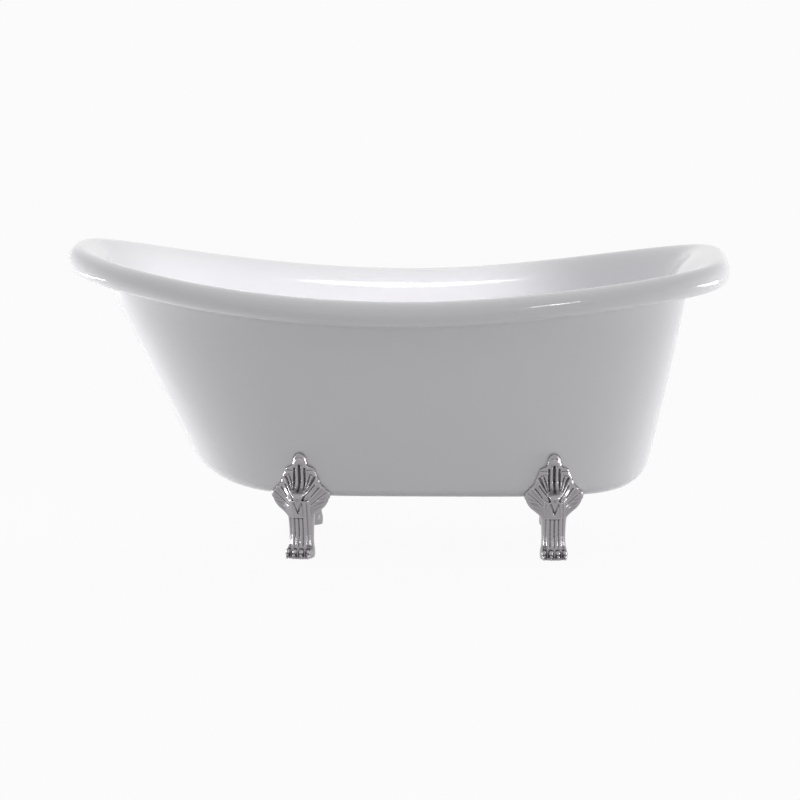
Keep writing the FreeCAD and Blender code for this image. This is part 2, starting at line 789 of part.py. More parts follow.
def make_tail_pipe():
    pipe = joined(cylinder(tail_radius, tail_end, tail_shoulder, WASTE),
                  cylinder(tail_neck, tail_end, waste_body_low + socket_depth - 0.5, WASTE))
    return pipe.cut(cylinder(tail_neck - tail_wall, tail_end, waste_body_low + socket_depth, WASTE))


def plug_levels():
    """Underside of the plug's seal, its top, and the top of the cap, all with the plug open."""
    low = floor_height + seal_thickness + flange_lip + plug_travel
    return low, low + plug_seal_thickness, low + plug_seal_thickness + plug_thickness


def make_plug_cap():
    _, low, high = plug_levels()
    cap = cylinder(plug_radius, low, high, WASTE)
    return cap.makeFillet(plug_thickness * 0.55, [edge for edge in cap.Edges
                                                  if edge.Closed and edge.CenterOfMass.z > high - STEP])


def make_plug_seal():
    low, high, _ = plug_levels()
    return tube(plug_radius - 3, plug_boss_radius + clearance, low, high, WASTE)


def make_plug_stem():
    low, high, _ = plug_levels()
    return joined(cylinder(plug_stem_radius, plug_stem_low, high, WASTE),
                  cylinder(plug_boss_radius, low - plug_boss_length, high, WASTE))


def make_plug_clip():
    high = spider_low - plug_clip_gap
    return tube(plug_boss_radius, plug_stem_radius + running_clearance, high - 2, high, WASTE)


def make_plug_spring():
    """Helical spring between the spider's hub and the boss of the stem."""
    low = spider_low + spider_height + spring_wire / 2 + spring_end_gap
    high = plug_levels()[0] - plug_boss_length - spring_wire / 2 - spring_end_gap
    helix = Part.makeHelix((high - low) / spring_turns, high - low, spring_radius)
    start = Part.Wire(Part.makeCircle(spring_wire / 2, V(spring_radius, 0, 0), Y_AXIS))
    spring = Part.Wire(helix.Edges).makePipeShell([start], True, False)
    spring.translate(WASTE + UP * low)
    return spring


# --- overflow ----------------------------------------------------------------------------
def overflow_ring(outer, inner, near, far):
    """Ring on the overflow's axis, between two depths behind the wet face of the wall."""
    point, inward, _ = overflow_place()
    return sleeve(outer, inner, point - inward * far, point - inward * near)


def make_overflow_plate():
    point, inward, up = overflow_place()
    back, front = point + inward * seal_thickness, point + inward * (seal_thickness + overflow_plate_depth)
    plate = rod(overflow_plate_radius, back, front)
    outer_edges = [edge for edge in plate.Edges if edge.Closed and (edge.CenterOfMass - front).Length < 1]
    plate = plate.makeFillet(overflow_plate_depth * 0.5, outer_edges)
    plate = plate.cut(rod(overflow_plate_radius - 2.5, back - inward, front - inward * 2.5))
    slot = block(V(-6, -11, -2.5), V(6, 11, 2.5))
    slot.Placement = FreeCAD.Placement(back + inward * 2.5 - up * overflow_plate_radius,
                                       FreeCAD.Rotation(V(0, 0, 1), inward))
    boss = sleeve(5, screw_bore_radius, back, front - inward * 2)
    return joined(plate, boss).cut([rod(screw_bore_radius, back - inward, front + inward), slot])


def make_overflow_seal():
    return overflow_ring(overflow_plate_radius - 0.5, overflow_plate_radius - 5, -seal_thickness, -wall_hollow / 6)


def make_overflow_gasket():
    return overflow_ring(elbow_radius, overflow_hole_radius + clearance, basin_wall + wall_hollow,
                         basin_wall + gasket_rubber)


def pipe_start():
    point, inward, up = overflow_place()
    return point - inward * pipe_depth, up


def make_overflow_elbow():
    point, inward, up = overflow_place()
    near, far = basin_wall + gasket_rubber, basin_wall + gasket_rubber + elbow_depth
    start, _ = pipe_start()
    body = joined(rod(elbow_radius, point - inward * far, point - inward * near),
                  rod(pipe_radius + socket_wall, start - up * spigot_start, start - up * (elbow_radius + socket_depth)))
    hollow = rod(elbow_radius - elbow_wall, point - inward * (far - elbow_wall), point)
    bore = rod(pipe_radius + running_clearance, start, start - up * (elbow_radius + socket_depth + 1))
    bar = block(V(-4, -elbow_radius + 1, -3), V(4, elbow_radius - 1, 3))
    bar.Placement = FreeCAD.Placement(point - inward * (near + 4), FreeCAD.Rotation(V(0, 0, 1), inward))
    screw_hole = rod(overflow_screw_radius + running_clearance, point - inward * far * 0.9, point)
    return body.cut([hollow, bore]).fuse(bar).cut(screw_hole)


def make_overflow_screw():
    point, inward, _ = overflow_place()
    front = point + inward * (seal_thickness + overflow_plate_depth)
    end = point - inward * (basin_wall + gasket_rubber + 10)
    return joined(rod(overflow_screw_radius, end, front), rod(5.5, front, front + inward * 2))


def make_overflow_pipe():
    """From the elbow down behind the end wall, round a bend and level to the waste."""
    start, up = pipe_start()
    first = start - up * elbow_radius
    corner = first - up * ((first.z - pipe_height) / up.z)
    last = WASTE + V(port_reach - socket_depth, 0, pipe_height)
    turn = X_AXIS.getAngle(up)
    length = pipe_bend * cos(turn / 2) / sin(turn / 2)
    rise, level = corner + up * length, corner - X_AXIS * length
    middle_way = (up - X_AXIS).normalize()
    centre = corner + middle_way * (pipe_bend / sin(turn / 2))
    path = Part.Wire([Part.LineSegment(first, rise).toShape(),
                      Part.Arc(rise, centre - middle_way * pipe_bend, level).toShape(),
                      Part.LineSegment(level, last).toShape()])
    outer, inner = [path.makePipeShell([Part.Wire(Part.makeCircle(radius, first, up))], True, False)
                    for radius in (pipe_radius, pipe_radius - pipe_wall)]
    return outer.cut(inner)


def make_overflow_nut():
    start = WASTE + V(port_reach - port_nut_length / 2, 0, pipe_height)
    middle, end = WASTE + V(port_reach + gasket_rubber, 0, pipe_height), start + X_AXIS * port_nut_length
    nut = rod(port_nut_radius, start, end + X_AXIS * gasket_rubber)
    return nut.cut([rod(port_radius + running_clearance, start, middle),
                    rod(pipe_radius + clearance, start, end + X_AXIS * gasket_rubber)])


def make_overflow_nut_seal():
    start = WASTE + V(port_reach, 0, pipe_height)
    return sleeve(port_radius - 0.3, pipe_radius + running_clearance, start, start + X_AXIS * gasket_rubber)


# --- every sub-part ----------------------------------------------------------------------
def all_parts():
    parts = {
        "basin": make_basin(), "outer_shell": make_outer_shell(), "rim_seal": make_rim_seal(),
        "base_board": make_base_board(), "board_screws": make_board_screws(),
        "long_rail_front": make_long_rail(-1), "long_rail_rear": make_long_rail(1),
        "foot_bolts": at_each_bolt(foot_bolt), "foot_washers": at_each_bolt(foot_washer),
        "rail_nuts": at_each_bolt(rail_nut),
        "waste_flange": make_waste_flange(), "flange_seal": make_flange_seal(),
        "waste_gasket": make_waste_gasket(), "waste_body": make_waste_body(),
        "tail_seal": make_tail_seal(), "tail_nut": make_tail_nut(), "tail_pipe": make_tail_pipe(),
        "plug_cap": make_plug_cap(), "plug_seal": make_plug_seal(), "plug_stem": make_plug_stem(),
        "plug_clip": make_plug_clip(), "plug_spring": make_plug_spring(),
        "overflow_plate": make_overflow_plate(), "overflow_seal": make_overflow_seal(),
        "overflow_gasket": make_overflow_gasket(), "overflow_elbow": make_overflow_elbow(),
        "overflow_screw": make_overflow_screw(), "overflow_pipe": make_overflow_pipe(),
        "overflow_nut": make_overflow_nut(), "overflow_nut_seal": make_overflow_nut_seal(),
    }
    casting, envelope, gaskets = make_foot_casting(), tub_envelope(), []
    for end in FEET:
        for side, name in SIDES:
            place = name + "_" + end["name"]
            foot = casting.copy()
            foot.Placement = foot_placement(end, side)
            parts["foot_" + place] = foot.cut(envelope)
            parts["foot_rail_" + place] = make_foot_rail(end, side)
            parts["leveller_stud_" + place] = make_leveller_stud(end, side)
            parts["leveller_pad_" + place] = make_leveller_pad(end, side)
            gaskets.append(make_foot_gasket(end, side))
    parts["foot_gaskets"] = Part.makeCompound(gaskets)
    return parts


def main():
    os.makedirs("parts", exist_ok=True)
    for name, shape in all_parts().items():
        print(f"{name:26s} {len(shape.Solids)} {shape.isValid()} {shape.Volume:12.0f}")
        shape.exportStep("parts/" + name + ".step")


if __name__ == "__main__":
    main()
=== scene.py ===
"""Freestanding white bath on four cast claw feet: finishes, sculpted feet, light and camera."""

import json
import math

import bmesh
import bpy
import numpy as np
from mathutils import Matrix, Vector
from mathutils.bvhtree import BVHTree


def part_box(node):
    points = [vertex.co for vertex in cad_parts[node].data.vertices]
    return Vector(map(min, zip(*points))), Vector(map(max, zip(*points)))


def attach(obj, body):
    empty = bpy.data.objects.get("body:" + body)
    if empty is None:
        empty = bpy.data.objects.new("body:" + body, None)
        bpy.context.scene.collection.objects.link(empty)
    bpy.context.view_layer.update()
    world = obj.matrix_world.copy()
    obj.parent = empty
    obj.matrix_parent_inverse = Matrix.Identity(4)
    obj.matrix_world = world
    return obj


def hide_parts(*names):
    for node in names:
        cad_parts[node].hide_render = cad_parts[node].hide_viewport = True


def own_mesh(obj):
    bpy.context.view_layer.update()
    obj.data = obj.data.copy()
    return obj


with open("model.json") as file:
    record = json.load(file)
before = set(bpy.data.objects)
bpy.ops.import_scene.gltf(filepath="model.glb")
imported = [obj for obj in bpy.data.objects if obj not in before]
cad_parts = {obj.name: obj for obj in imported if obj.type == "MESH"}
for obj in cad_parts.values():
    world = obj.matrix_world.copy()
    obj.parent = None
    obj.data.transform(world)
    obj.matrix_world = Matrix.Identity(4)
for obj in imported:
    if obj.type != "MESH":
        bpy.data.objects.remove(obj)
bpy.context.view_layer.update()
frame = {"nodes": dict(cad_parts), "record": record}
scene = bpy.context.scene
MM = 0.001

# --- camera, as in the photograph --------------------------------------------------------
TURN, ELEVATION, DISTANCE = math.radians(1.5), math.radians(8.89), 12.0
LENS, SENSOR_WIDTH, FARTHEST_SEEN = 208.4, 36.0, 300.0
AIM = Vector((0.0033, 0.0, 0.3684))
LEVEL_PART = math.cos(ELEVATION)
BACK = Vector((math.sin(TURN) * LEVEL_PART, -math.cos(TURN) * LEVEL_PART, math.sin(ELEVATION)))

camera = bpy.data.objects.new("camera", bpy.data.cameras.new("camera"))
scene.collection.objects.link(camera)
camera.data.lens = LENS
camera.data.sensor_width = SENSOR_WIDTH
camera.data.clip_end = FARTHEST_SEEN
camera.location = AIM + BACK * DISTANCE
camera.rotation_euler = (-BACK).to_track_quat("-Z", "Y").to_euler()
scene.camera = camera


# --- materials ---------------------------------------------------------------------------
class Tree:
    """Small helper that adds nodes to a tree and links them."""

    def __init__(self, tree):
        self.tree = tree

    def add(self, kind, inputs=None, **settings):
        node = self.tree.nodes.new(kind)
        for key, value in settings.items():
            setattr(node, key, value)
        for key, value in (inputs or {}).items():
            if isinstance(value, bpy.types.NodeSocket):
                self.tree.links.new(value, node.inputs[key])
            else:
                node.inputs[key].default_value = value
        return node

    def calculate(self, operation, a, b):
        return self.add("ShaderNodeMath", {0: a, 1: b}, operation=operation).outputs[0]

    def shown(self):
        """1 where the camera looks, also by way of a mirror or through glass, and 0 for light."""
        rays = self.add("ShaderNodeLightPath").outputs
        mirrored = self.calculate("MAXIMUM", rays["Is Glossy Ray"], rays["Is Transmission Ray"])
        return self.calculate("MAXIMUM", rays["Is Camera Ray"], mirrored)


class Surface(Tree):
    """A new material, its shader and the nodes that feed it."""

    # Sockets of a colour mix: its factor, its two colours and its result.
    MIX_FACTOR, MIX_LOW, MIX_HIGH, MIX_RESULT = 0, 6, 7, 2

    def __init__(self, name):
        self.material = bpy.data.materials.new(name)
        self.material.use_nodes = True
        super().__init__(self.material.node_tree)
        self.shader = self.tree.nodes["Principled BSDF"]

    def set(self, **values):
        for key, value in values.items():
            socket = self.shader.inputs[key.replace("_", " ")]
            if isinstance(value, bpy.types.NodeSocket):
                self.tree.links.new(value, socket)
            else:
                socket.default_value = value

    def object_place(self):
        return self.add("ShaderNodeTexCoord").outputs["Object"]

    def noise(self, scale, detail=3.0, stretch=None):
        place = self.object_place()
        if stretch is not None:
            place = self.add("ShaderNodeMapping", {"Vector": place, "Scale": stretch}).outputs["Vector"]
        inputs = {"Vector": place, "Scale": scale, "Detail": detail}
        return self.add("ShaderNodeTexNoise", inputs).outputs["Fac"]

    def between(self, factor, low, high, start=0.0, end=1.0):
        """A number that runs from low to high as the factor runs from start to end."""
        inputs = {"Value": factor, "From Min": start, "From Max": end, "To Min": low, "To Max": high}
        return self.add("ShaderNodeMapRange", inputs).outputs["Result"]

    def mix(self, factor, low, high):
        node = self.add("ShaderNodeMix", data_type="RGBA")
        self.tree.links.new(factor, node.inputs[self.MIX_FACTOR])
        for key, colour in ((self.MIX_LOW, low), (self.MIX_HIGH, high)):
            if isinstance(colour, bpy.types.NodeSocket):
                self.tree.links.new(colour, node.inputs[key])
            else:
                node.inputs[key].default_value = (*colour, 1.0)
        return node.outputs[self.MIX_RESULT]

    def bump(self, height, strength, distance, normal=None):
        inputs = {"Height": height, "Strength": strength, "Distance": distance}
        if normal is not None:
            inputs["Normal"] = normal
        return self.add("ShaderNodeBump", inputs).outputs["Normal"]


def darker(colour, share):
    return [channel * share for channel in colour]


def acrylic_material(name, tint):
    """Vacuum-formed gloss acrylic: nearly even white with the faint waves of the moulding."""
    n = Surface(name)
    tone = n.mix(n.noise(scale=2.3), darker(tint, 0.985), tint)
    waves = n.bump(n.noise(scale=7.0, detail=1.0), strength=0.10, distance=0.004)
    grain = n.noise(scale=900.0, detail=2.0)
    n.set(Base_Color=tone, Roughness=n.between(n.noise(scale=18.0), 0.07, 0.13),
          Normal=n.bump(grain, strength=0.04, distance=0.0002, normal=waves))
    n.set(IOR=1.49, Coat_Weight=0.25, Coat_Roughness=0.04)
    return n.material


def metal_material(name, light, roughness, painted_shade=None):
    """Polished metal with faint smudges. With a painted shade colour given, deep relief takes that colour as
    painted shade and is duller.
    """
    n = Surface(name)
    smudge = n.noise(scale=55.0, detail=5.0)
    tone = n.mix(smudge, darker(light, 0.86), light)
    rough = n.between(smudge, roughness * 0.75, roughness * 1.35)
    if painted_shade is not None:
        # Painted shade: the deeper the relief, the more its colour goes over to the painted shade colour,
        # standing in for occlusion.
        relief = n.add("ShaderNodeAttribute", attribute_name="cavity").outputs["Fac"]
        tone = n.mix(n.between(relief, 0.0, 1.0, start=0.3, end=0.53), painted_shade, tone)
        rough = n.calculate("ADD", rough, n.between(relief, 0.25, 0.0, start=0.15, end=0.5))
    scratches = n.noise(scale=420.0, detail=4.0)
    n.set(Base_Color=tone, Roughness=rough, Normal=n.bump(scratches, strength=0.12, distance=0.0004))
    n.set(Metallic=1.0)
    return n.material


def brushed_material(name, colour, roughness):
    """Plated steel with the grain of its rolling along the bath."""
    n = Surface(name)
    grain = n.noise(scale=160.0, detail=4.0, stretch=(0.05, 1, 1))
    n.set(Base_Color=n.mix(grain, darker(colour, 0.8), colour),
          Roughness=n.between(grain, roughness * 0.8, roughness * 1.3),
          Normal=n.bump(grain, strength=0.15, distance=0.0002))
    n.set(Metallic=1.0)
    return n.material


def plastic_material(name, colour, roughness):
    """Moulded plastic with a fine even grain."""
    n = Surface(name)
    grain = n.noise(scale=600.0, detail=3.0)
    n.set(Base_Color=n.mix(n.noise(scale=20.0), darker(colour, 0.92), colour),
          Roughness=n.between(grain, roughness * 0.85, roughness * 1.15),
          Normal=n.bump(grain, strength=0.2, distance=0.0002))
    return n.material


def rubber_material(name, colour):
    """Dull rubber with a rough skin."""
    n = Surface(name)
    grain = n.noise(scale=800.0, detail=2.0)
    n.set(Base_Color=n.mix(n.noise(scale=35.0), darker(colour, 0.8), colour),
          Roughness=n.between(grain, 0.55, 0.8), Normal=n.bump(grain, strength=0.3, distance=0.0002))
    return n.material


def board_material(name, dark_chip, pale_chip):
    """Particle board: pale and dark chips under a rough sawn face."""
    n = Surface(name)
    chips = n.add("ShaderNodeTexVoronoi", {"Vector": n.object_place(), "Scale": 260.0}).outputs["Color"]
    shade = n.add("ShaderNodeSeparateColor", {"Color": chips}).outputs[0]
    n.set(Base_Color=n.mix(shade, dark_chip, pale_chip), Roughness=0.8,
          Normal=n.bump(n.noise(scale=300.0), strength=0.4, distance=0.0005))
    return n.material


FINISH = {
    "acrylic": acrylic_material("gloss_acrylic", tint=(0.864, 0.856, 0.884)),
    # The feet's metal carries a near-black painted shade in its deep relief.
    "foot_metal": metal_material("foot_metal", (0.36, 0.343, 0.36), 0.24, painted_shade=(0.03, 0.027, 0.03)),
    "sealant": plastic_material("white_sealant", (0.82, 0.82, 0.81), 0.45),
    "rubber": rubber_material("black_rubber", (0.035, 0.035, 0.035)),
    "steel": brushed_material("zinc_steel", (0.58, 0.59, 0.6), 0.35),
    "pad_plastic": plastic_material("black_moulding", (0.05, 0.05, 0.05), 0.5),
    "board": board_material("particle_board", (0.36, 0.24, 0.13), (0.68, 0.52, 0.34)),
    "drain_plastic": plastic_material("white_moulding", (0.8, 0.8, 0.79), 0.4),
    "chrome_trim": metal_material("bright_chrome", (0.82, 0.83, 0.84), 0.06),
}
slot_of = {entry["node"]: entry["material_slot"] for entry in frame["record"]["subparts"]}
for name, node in frame["nodes"].items():
    node.data.materials.clear()
    node.data.materials.append(FINISH[slot_of[name]])
    for polygon in node.data.polygons:
        polygon.material_index = 0

# --- the cast feet -----------------------------------------------------------------------
# A foot is shaped in its own frame, in millimetres: u sideways, out away from the bath and
# z up. On the leaf, places are given as (u, drop), with the drop counted from its tip.
LEAF_TOP, LEAF_LENGTH = 273.0, 168
LEAF_ROW, LEAF_COLUMNS, LEAF_BACK_GAP, LEAF_TIP_HALF_WIDTH = 1.0, 141, 1.0, 0.6
# Half width of the leaf at each drop, as (drop, half width).
LEAF_EDGE = [
    (0, 0), (1, 5), (3, 9), (7, 13), (13, 16), (25, 19), (31, 20.5), (34, 23), (38, 33), (42, 37.5),
    (50, 40.5), (60, 44), (68, 47), (72, 49.5), (78, 51), (83, 55), (87, 59), (90, 63), (95, 66),
    (99, 71), (104, 75), (112, 76), (118, 75), (123, 71), (128, 70), (138, 64), (145, 58), (152, 49),
    (160, 39), (168, 31),
]
# The leaf's thickness: in the middle, its loss at the sides and at the rounded edge, the
# width of that edge, and the least that is left.
LEAF_MIDDLE, LEAF_SIDE_LOSS, LEAF_EDGE_LOSS, LEAF_EDGE_WIDTH, LEAF_LEAST = 11.5, 3.5, 4.5, 7.0, 3.0
# Where the leaf swells out over the leg, how far and how wide.
SWELL_FROM, SWELL_TO, SWELL, SWELL_HALF_WIDTH, SWELL_BLUNT = 72, 112, 28, 33, 2.4
KNOT = {"drop_at": 107, "half_width": 15.5, "half_height": 10, "rise": 8.5, "blunt": 1.4}
TIP_BEAD = {"drop_at": 22, "half_width": 10, "half_height": 9, "rise": 4.0, "blunt": 1.5}
# The tongue is a wedge that hangs from the knot: its half width at the top, height, tip and
# rise, the soft step at its sides and the drops over which it begins.
TONGUE_WIDTH, TONGUE_HEIGHT, TONGUE_TIP, TONGUE_RISE = 15, 45, 155, 4.5
TONGUE_SIDE, TONGUE_BEGINS = (-1, 3), (105, 116)
# Grooves of the leaf: two ends, half width at each and depth.
GROOVES = [
    ((0, 36), (0, 96), 2.6, 2.2, 6.0), ((13, 42), (13.5, 93), 2.4, 1.6, 5.0),
    ((37, 66), (20, 97), 4.4, 1.5, 5.0), ((26, 62), (17, 92), 1.8, 1.3, 4.0),
    ((38, 84), (17, 112), 1.4, 1.4, 3.5), ((48, 92), (31, 114), 2.0, 1.2, 3.0),
    ((66, 104), (26, 138), 1.1, 1.2, 2.4), ((16.5, 112), (0, 155), 1.6, 1.8, 5.0),
    ((2, 13), (8, 14), 1.0, 1.0, 2.0), ((18, 47), (35, 46), 1.3, 1.1, 3.2),
    ((27, 58), (33, 60), 2.0, 1.4, 2.6),
]
# Fine raised ribs of the leaf: two ends, half width and height.
RIBS = [
    ((6, 40), (6.8, 96), 1.5, 1.6), ((19.5, 50), (15, 96), 1.4, 1.5), ((29, 74), (18, 100), 1.2, 1.3),
    ((42, 84), (20, 113), 1.2, 1.4), ((55, 92), (28, 122), 1.3, 1.5), ((42, 128), (65, 124), 1.3, 1.4),
    ((38, 143), (59, 134), 1.3, 1.3), ((8, 20), (11, 33), 1.5, 1.2),
]
# Height, middle (out is positive), half depth and half width of the leg.
LEG = [
    (0.0, 0, 36, 34), (6, 0, 37, 35), (14, -1, 37, 35), (22, -2, 36, 34), (29, -5, 33, 32),
    (36, -7, 32, 31), (46, -8, 31.5, 30.5), (60, -9, 31.5, 30.5), (75, -9, 33, 31), (90, -8, 35, 32),
    (105, -7, 37, 33.5), (120, -6, 39, 34), (135, -5, 41, 34), (150, -3, 43, 32),
]
LEG_ROW, LEG_AROUND, LEG_BLUNT = 2.0, 160, 2.5
FLUTE_PITCH, FLUTE_START, FLUTE_HALF_WIDTH, FLUTE_DEPTH = 10.8, 27, 2.2, 3.2
# Heights over which the flutes begin above the paw and end under the leaf, and the forward
# part of the leg's outline, from -1 to 1, over which they set in.
FLUTES_BEGIN, FLUTES_END, FLUTES_IN_FRONT = (28, 36), (138, 150), (-0.1, 0.25)
TOES, TOE_PITCH, TOE_REACH, TOE_DRAWN_BACK = 4, 17.5, 41, 0.18
# Balls of a toe: sideways share, how far behind its reach, height, half sizes and lean.
TOE_BALLS = [
    (1.0, 15, 14, (8.3, 17, 13), 0.15), (1.0, 8, 18, (7.2, 8, 8.5), 0.0),
    (1.02, 1, 8.5, (5.8, 9, 7.5), -0.25), (1.03, -5, 5, (2.6, 7, 4.2), -0.35),
    (0.95, 20, 24, (5.4, 9, 8), 0.8),
]
BALL_STEPS, BALL_AROUND = 12, 24
# The mounting pad and the web under it.
PAD_HALF_WIDTH, PAD_FRONT, PAD_BACK, PAD_LEVELS = 30, -6, 96, (145.5, 154.5)
WEB_HALF_WIDTH, WEB_FRONT, WEB_BACK, WEB_LOW, WEB_HIGH = 6, 20, 92, 84.5, 150
# Radius, bottom and top of the recess for the levelling foot's pad and of the bore for its stud.
LEVELLER_BORES, BORE_AROUND = ((16.0, -2.0, 7.8), (5.05, 7.0, 44.8)), 64
# Where the bath's wall is measured behind a foot: two heights, and a distance to each side.
PROBE_LOW, PROBE_HIGH, PROBE_SIDE, PROBE_START = 180.0, 260.0, 70, -200
CAST_VOXEL = 1.35
FOOT_TURNS = {"left": -11.0, "right": 4.0}


def smooth_step(low, high, value):
    share = np.clip((value - low) / (high - low), 0, 1)
    return share * share * (3 - 2 * share)


def from_segment(u, drop, start, end):
    """Distance from a line between two places and how far along it, both for arrays."""
    along = np.array(end, float) - np.array(start, float)
    share = np.clip(((u - start[0]) * along[0] + (drop - start[1]) * along[1]) / along.dot(along), 0, 1)
    return np.hypot(u - start[0] - share * along[0], drop - start[1] - share * along[1]), share


def bead(u, drop, drop_at, half_width, half_height, rise, blunt):
    return rise * np.exp(-((u / half_width) ** 2 + ((drop - drop_at) / half_height) ** 2) ** blunt)


def leaf_height(u, drop, half):
    """How far the leaf's front stands off the wall of the bath."""
    side = np.abs(u)
    edge = 1 - np.clip((half - side) / LEAF_EDGE_WIDTH, 0, 1)
    height = LEAF_MIDDLE - LEAF_SIDE_LOSS * (side / np.maximum(half, 1)) ** 2 - LEAF_EDGE_LOSS * edge ** 2
    swollen = np.exp(-(side / SWELL_HALF_WIDTH) ** SWELL_BLUNT)
    height += SWELL * smooth_step(SWELL_FROM, SWELL_TO, drop) * swollen
    height += bead(u, drop, **KNOT)
    height += bead(u, drop, **TIP_BEAD)
    tongue = TONGUE_WIDTH * (TONGUE_TIP - drop) / TONGUE_HEIGHT
    height += TONGUE_RISE * smooth_step(*TONGUE_SIDE, tongue - side) * smooth_step(*TONGUE_BEGINS, drop)
    for start, end, wide_start, wide_end, depth in GROOVES:
        distance, share = from_segment(side, drop, start, end)
        height -= depth * np.exp(-(distance / (wide_start + (wide_end - wide_start) * share)) ** 2)
    for start, end, wide, rise in RIBS:
        distance, _ = from_segment(side, drop, start, end)
        height += rise * np.exp(-(distance / wide) ** 2)
    return np.maximum(height, LEAF_LEAST)


def closed_grid(front, back):
    """Closed mesh between two sheets of points with the same rows and columns."""
    rows, columns = front.shape[:2]
    points = np.concatenate([front.reshape(-1, 3), back.reshape(-1, 3)])
    at = np.arange(rows * columns).reshape(rows, columns)
    far = at + rows * columns
    faces = []
    for i in range(rows - 1):
        for j in range(columns - 1):
            faces.append((at[i, j], at[i, j + 1], at[i + 1, j + 1], at[i + 1, j]))
            faces.append((far[i, j], far[i + 1, j], far[i + 1, j + 1], far[i, j + 1]))
    rim = [*at[0, :], *at[1:, -1], *at[-1, -2::-1], *at[-2:0:-1, 0]]
    for a, b in zip(rim, rim[1:] + rim[:1]):
        faces.append((b, a, a + rows * columns, b + rows * columns))
    return points, faces


def closed_loft(rings):
    """Closed mesh through rings of points, with flat ends."""
    count, around = len(rings), len(rings[0])
    points = np.concatenate(rings)
    faces = [tuple(range(around))[::-1], tuple(range((count - 1) * around, count * around))]
    for i in range(count - 1):
        for j in range(around):
            a, b = i * around + j, i * around + (j + 1) % around
            faces.append((a, b, b + around, a + around))
    return points, faces


def closed_ball(centre, size, lean):
    """Ellipsoid, leaned about the sideways axis."""
    around = np.linspace(0, 2 * math.pi, BALL_AROUND, endpoint=False)
    c, s = math.cos(lean), math.sin(lean)
    rings = []
    for k in range(1, BALL_STEPS):
        rise = math.pi * (k / BALL_STEPS - 0.5)
        x = size[0] * np.cos(rise) * np.cos(around)
        y = size[1] * np.cos(rise) * np.sin(around)
        z = size[2] * np.sin(rise)
        rings.append(np.stack([x + centre[0], y * c - z * s + centre[1], y * s + z * c + centre[2]], 1))
    return closed_loft(rings)


def leaf_solid(wall):
    """The leaf, whose back follows the wall of the bath with a small gap."""
    drops = np.arange(0.0, LEAF_LENGTH + LEAF_ROW / 2, LEAF_ROW)
    edge = np.interp(drops, *zip(*LEAF_EDGE))
    share = np.linspace(-1, 1, LEAF_COLUMNS)
    half = np.maximum(edge, LEAF_TIP_HALF_WIDTH)[:, None]
    u = half * share[None, :]
    drop = np.broadcast_to(drops[:, None], u.shape)
    z = LEAF_TOP - drop
    back = wall(u, z)
    front = back + leaf_height(u, drop, half)
    sheet = [np.stack([u, -depth, z], 2) for depth in (front, back + LEAF_BACK_GAP)]
    return closed_grid(sheet[0], sheet[1])


def leg_solid():
    """Cabriole leg with flutes down its front."""
    table = np.array(LEG)
    around = np.linspace(0, 2 * math.pi, LEG_AROUND, endpoint=False)
    c, s = np.cos(around), np.sin(around)
    reach = (np.abs(c) ** LEG_BLUNT + np.abs(s) ** LEG_BLUNT) ** (-1 / LEG_BLUNT)
    rings = []
    for z in np.arange(0.0, LEG[-1][0] + 0.5, LEG_ROW):
        middle, deep, wide = (np.interp(z, table[:, 0], table[:, k]) for k in (1, 2, 3))
        u, out = wide * reach * c, deep * reach * s
        tall = smooth_step(*FLUTES_BEGIN, z) * (1 - smooth_step(*FLUTES_END, z))
        fluted = tall * smooth_step(*FLUTES_IN_FRONT, s)
        across = (u + FLUTE_START) % FLUTE_PITCH - FLUTE_PITCH / 2
        out = out - FLUTE_DEPTH * fluted * np.exp(-(across / FLUTE_HALF_WIDTH) ** 2)
        rings.append(np.stack([u, -(out + middle), np.full_like(u, z)], 1))
    return closed_loft(rings)


def paw_solids():
    """Toes with knuckles, pads and claws."""
    solids = []
    for k in range(TOES):
        u = (k - (TOES - 1) / 2) * TOE_PITCH
        reach = TOE_REACH - abs(u) * TOE_DRAWN_BACK
        for sideways, behind, height, size, lean in TOE_BALLS:
            solids.append(closed_ball((u * sideways, -(reach - behind), height), size, lean))
    return solids


def mount_solids():
    """Pad that is bolted up under the bath, and its web."""
    corners = [(-PAD_HALF_WIDTH, PAD_FRONT), (PAD_HALF_WIDTH, PAD_FRONT),
               (PAD_HALF_WIDTH, PAD_BACK), (-PAD_HALF_WIDTH, PAD_BACK)]
    pad = closed_loft([np.array([(*corner, z) for corner in corners], float) for z in PAD_LEVELS])
    profile = [(WEB_FRONT, WEB_LOW), (WEB_BACK, WEB_HIGH), (WEB_FRONT, WEB_HIGH)]
    web = closed_loft([np.array([(u, *place) for place in profile], float)
                       for u in (WEB_HALF_WIDTH, -WEB_HALF_WIDTH)])
    return [pad, web]


def bore_solids():
    """What the levelling foot and its stud need: a recess under the paw and a bore above it."""
    around = np.linspace(0, 2 * math.pi, BORE_AROUND, endpoint=False)
    solids = []
    for radius, low, high in LEVELLER_BORES:
        x, y = radius * np.cos(around), radius * np.sin(around)
        solids.append(closed_loft([np.stack([x, y, np.full_like(around, z)], 1) for z in (low, high)]))
    return solids


def mesh_of(solids, name):
    points, faces, start = [], [], 0
    for solid_points, solid_faces in solids:
        points.append(solid_points)
        faces += [[int(i) + start for i in face] for face in solid_faces]
        start += len(solid_points)
    mesh = bpy.data.meshes.new(name)
    mesh.from_pydata((np.concatenate(points) * MM).tolist(), [], faces)
    mesh.update()
    return mesh


def with_modifiers(mesh, name, add):
    """The mesh after the modifiers that add gives its object."""
    holder = bpy.data.objects.new(name, mesh)
    scene.collection.objects.link(holder)
    add(holder)
    bpy.context.view_layer.update()
    result = bpy.data.meshes.new_from_object(holder.evaluated_get(bpy.context.evaluated_depsgraph_get()))
    bpy.data.objects.remove(holder)
    return result


